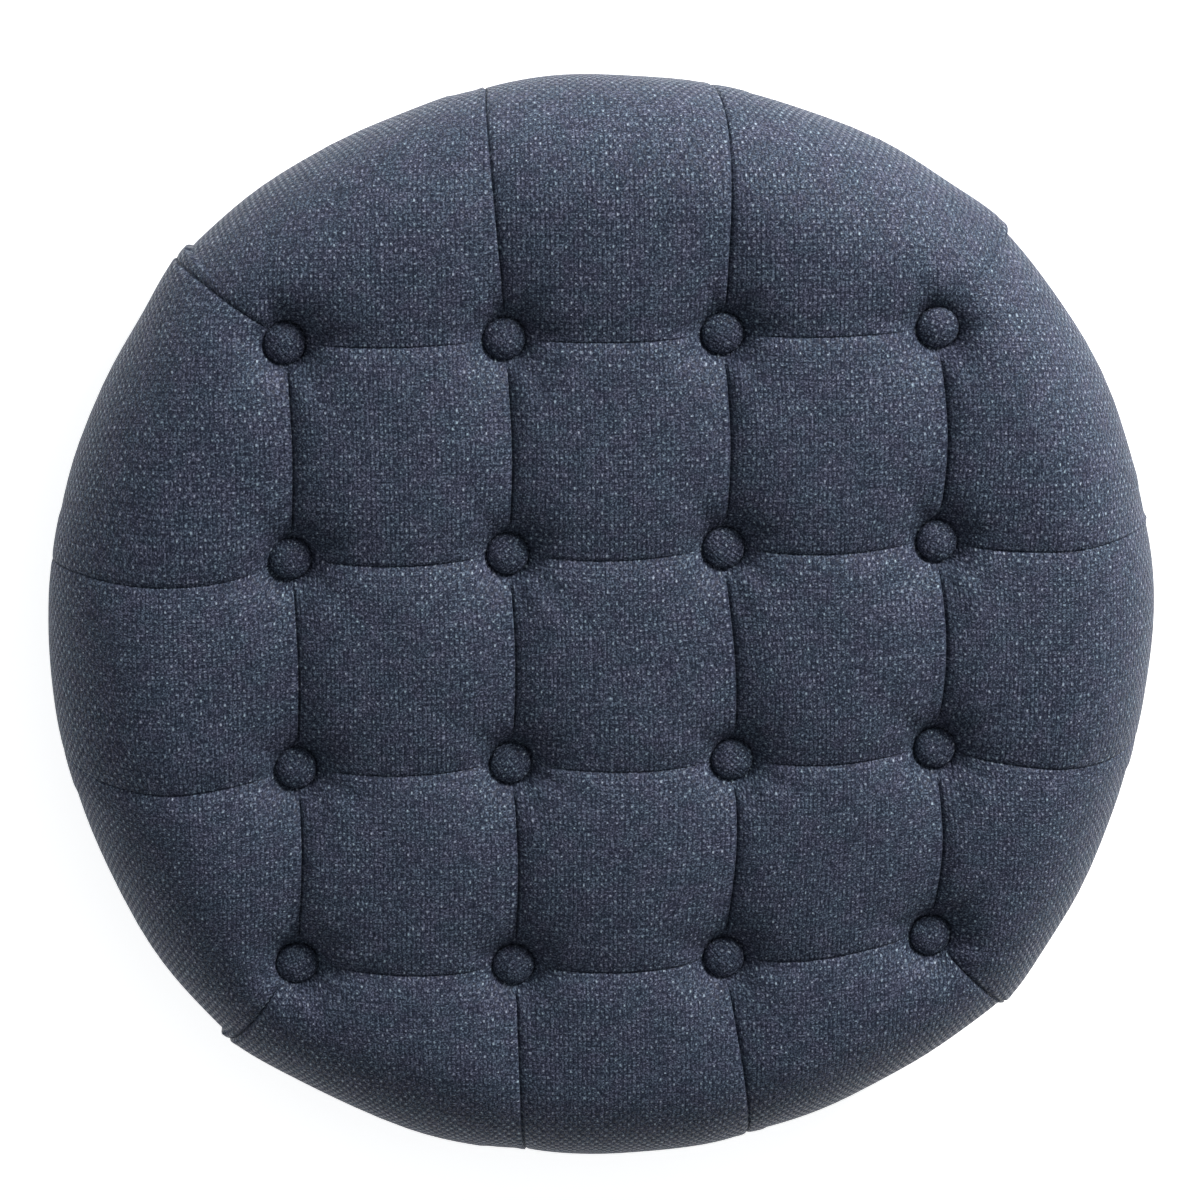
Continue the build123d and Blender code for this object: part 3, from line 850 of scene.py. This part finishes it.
def make_dust_cover(material):
    """Thin black cloth under the board, its edge turned in and drawn flat by staples."""
    turns = 180
    angle = np.arange(turns) * 2 * pi / turns
    radii = np.concatenate([np.linspace(2, 236, 40), np.linspace(239, DUST_COVER_RADIUS, 8)])
    puckers = 0.14 * (1 - np.cos(DUST_STAPLES * angle))
    tops, bottoms = [], []
    for radius in radii:
        edge = smooth(225, 250, radius)
        bottom = puckers * edge
        tops.append(np.stack([radius * np.cos(angle), radius * np.sin(angle), np.full(turns, 0.78)], 1))
        bottoms.append(np.stack([radius * np.cos(angle), radius * np.sin(angle), bottom], 1))
    places = np.concatenate(tops + bottoms)
    rows = len(radii)
    index = np.arange(2 * rows * turns).reshape(2, rows, turns)
    faces = []
    for layer, flip in ((0, False), (1, True)):
        for low, high in zip(index[layer, :-1], index[layer, 1:]):
            quad = np.stack([low, high, np.roll(high, -1), np.roll(low, -1)], -1)
            faces += quad[:, ::-1].tolist() if flip else quad.tolist()
    rim_top, rim_bottom = index[0, -1], index[1, -1]
    faces += np.stack([rim_top, rim_bottom, np.roll(rim_bottom, -1), np.roll(rim_top, -1)], -1).tolist()
    faces.append(index[0, 0].tolist())
    faces.append(index[1, 0][::-1].tolist())
    cover = new_object("dust_cover_cloth", places, faces, material, smooth_shaded=False)
    for k in range(4):
        drill_dust_cover(cover, pi / 4 + k * pi / 2)
    return cover


def bake_modifiers(piece):
    """Put the result of a piece's modifiers into its mesh."""
    evaluated = piece.evaluated_get(bpy.context.evaluated_depsgraph_get())
    mesh = bpy.data.meshes.new_from_object(evaluated)
    piece.modifiers.clear()
    old = piece.data
    piece.data = mesh
    bpy.data.meshes.remove(old)


# ---- the object

cover_cloth = cloth_material("cover_cloth")
button_cloth = cloth_material("button_cloth")

cover = make_cover(cover_cloth)
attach(cover, "root")
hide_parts("tufted_cover")

for button_name in BUTTONS:
    button = make_button(button_name, button_cloth)
    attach(button, "root")
    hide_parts(f"button_cover_{button_name}")

batting = make_batting(batting_material())
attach(batting, "root")
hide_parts("batting_wrap")

foam = make_foam(foam_material())
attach(foam, "root")
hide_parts("foam_core")

dust_cover = make_dust_cover(dust_cloth_material())
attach(dust_cover, "root")
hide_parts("dust_cover")

zinc = metal_material("zinc_plate", rgb(0.62, 0.63, 0.66), 0.28, 900.0)
galvanised = metal_material("galvanised_wire", rgb(0.55, 0.56, 0.58), 0.34, 1600.0)
aluminium = metal_material("pressed_aluminium", rgb(0.78, 0.78, 0.79), 0.3, 700.0)
tinned = metal_material("tinned_steel", rgb(0.6, 0.59, 0.57), 0.3, 800.0)
plywood = plywood_material()
twine = twine_material()
node_materials = {
    "seat_board": plywood,
    "tee_nut": zinc,
    "button_shells": aluminium,
    "button_back_plates": tinned,
    "button_eyes": galvanised,
    "tufting_twine": twine,
    "twine_staples": galvanised,
    "hem_staples": galvanised,
    "dust_cover_staples": galvanised,
}
for node_name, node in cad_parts.items():
    for start, material in node_materials.items():
        if node_name.startswith(start):
            node.data.materials.clear()
            node.data.materials.append(material)

# ---- stage, light and camera

FLOOR_SIZE = 9.0
floor_mesh = bpy.data.meshes.new("floor")
pad = bmesh.new()
bmesh.ops.create_grid(pad, x_segments=1, y_segments=1, size=FLOOR_SIZE)
pad.to_mesh(floor_mesh)
pad.free()
floor = bpy.data.objects.new("floor", floor_mesh)
floor.location.z = -0.0005
bpy.context.scene.collection.objects.link(floor)
floor_shader = Shader("floor")
floor_shader.set(Base_Color=rgb(0.93, 0.93, 0.93), Roughness=0.9)
floor_shader.surface.inputs["Specular IOR Level"].default_value = 0.1
floor_shader.surface.inputs["Emission Color"].default_value = rgb(1, 1, 1)
floor_shader.surface.inputs["Emission Strength"].default_value = 0.72
floor_mesh.materials.append(floor_shader.material)


def area_light(name, place, size, power, colour=(1, 1, 1)):
    lamp = bpy.data.lights.new(name, "AREA")
    lamp.shape = "DISK"
    lamp.size = size
    lamp.energy = power
    lamp.color = colour
    holder = bpy.data.objects.new(name, lamp)
    holder.location = place
    holder.rotation_euler = (-Vector(place)).to_track_quat("-Z", "Y").to_euler()
    bpy.context.scene.collection.objects.link(holder)


area_light("key", (1.7, 2.1, 1.3), 1.2, 140, (1.0, 0.99, 0.98))


CEILING_SHARE = 0.3        # of the walls' light that comes from straight above
WALL_CONTRAST = 0.75       # how much brighter the lit side's walls are
WALL_LIGHT = 0.95


def studio_world():
    """White walls all round, brightest behind and to the right, and a dim ceiling."""
    world = bpy.data.worlds.new("studio")
    world.use_nodes = True
    nodes, links = world.node_tree.nodes, world.node_tree.links

    def math(operation, *values):
        node = nodes.new("ShaderNodeMath")
        node.operation = operation
        for socket, value in zip(node.inputs, values):
            if isinstance(value, bpy.types.NodeSocket):
                links.new(value, socket)
            else:
                socket.default_value = value
        return node.outputs[0]

    direction = nodes.new("ShaderNodeTexCoord").outputs["Generated"]
    split = nodes.new("ShaderNodeSeparateXYZ")
    links.new(direction, split.inputs[0])
    x, y, z = split.outputs
    ceiling = nodes.new("ShaderNodeMapRange")
    ceiling.interpolation_type = "SMOOTHSTEP"
    for name, value in {"From Min": 0.2, "From Max": 0.85, "To Min": 1.0, "To Max": CEILING_SHARE}.items():
        ceiling.inputs[name].default_value = value
    links.new(z, ceiling.inputs["Value"])
    lit_side = math("ADD", math("MULTIPLY", x, 0.25), math("MULTIPLY", y, 0.85))
    wall = math("MULTIPLY_ADD", lit_side, WALL_CONTRAST, 1.0)
    background = nodes["Background"]
    background.inputs[0].default_value = rgb(0.95, 0.98, 1.0)
    share = math("MULTIPLY", wall, ceiling.outputs["Result"])
    links.new(math("MULTIPLY", share, WALL_LIGHT), background.inputs[1])
    bpy.context.scene.world = world


studio_world()
bpy.context.scene.view_settings.view_transform = "Standard"

CAMERA_DISTANCE = 2.2
CAMERA_LEAN_LEFT = radians(4.5)
CAMERA_LEAN_BACK = radians(13.8)
CAMERA_ROLL = radians(0.54)
FOCAL_LENGTH = 128.2
AIM_UP = 3.6 * MM      # the cushion sits a little below the middle of the view

view = Vector((-sin(CAMERA_LEAN_LEFT), sin(CAMERA_LEAN_BACK), 0))
view.z = sqrt(1 - view.x**2 - view.y**2)
right = Vector((0, 1, 0)).cross(view).normalized()
up = view.cross(right)
turned_right = right * cos(CAMERA_ROLL) - up * sin(CAMERA_ROLL)
turned_up = up * cos(CAMERA_ROLL) + right * sin(CAMERA_ROLL)
camera_data = bpy.data.cameras.new("camera")
camera_data.sensor_width = 36
camera_data.lens = FOCAL_LENGTH
camera = bpy.data.objects.new("camera", camera_data)
axes = Matrix((turned_right, turned_up, view)).transposed().to_4x4()
camera.matrix_world = Matrix.Translation(view * CAMERA_DISTANCE + turned_up * AIM_UP) @ axes
bpy.context.scene.collection.objects.link(camera)
bpy.context.scene.camera = camera

bpy.context.view_layer.update()
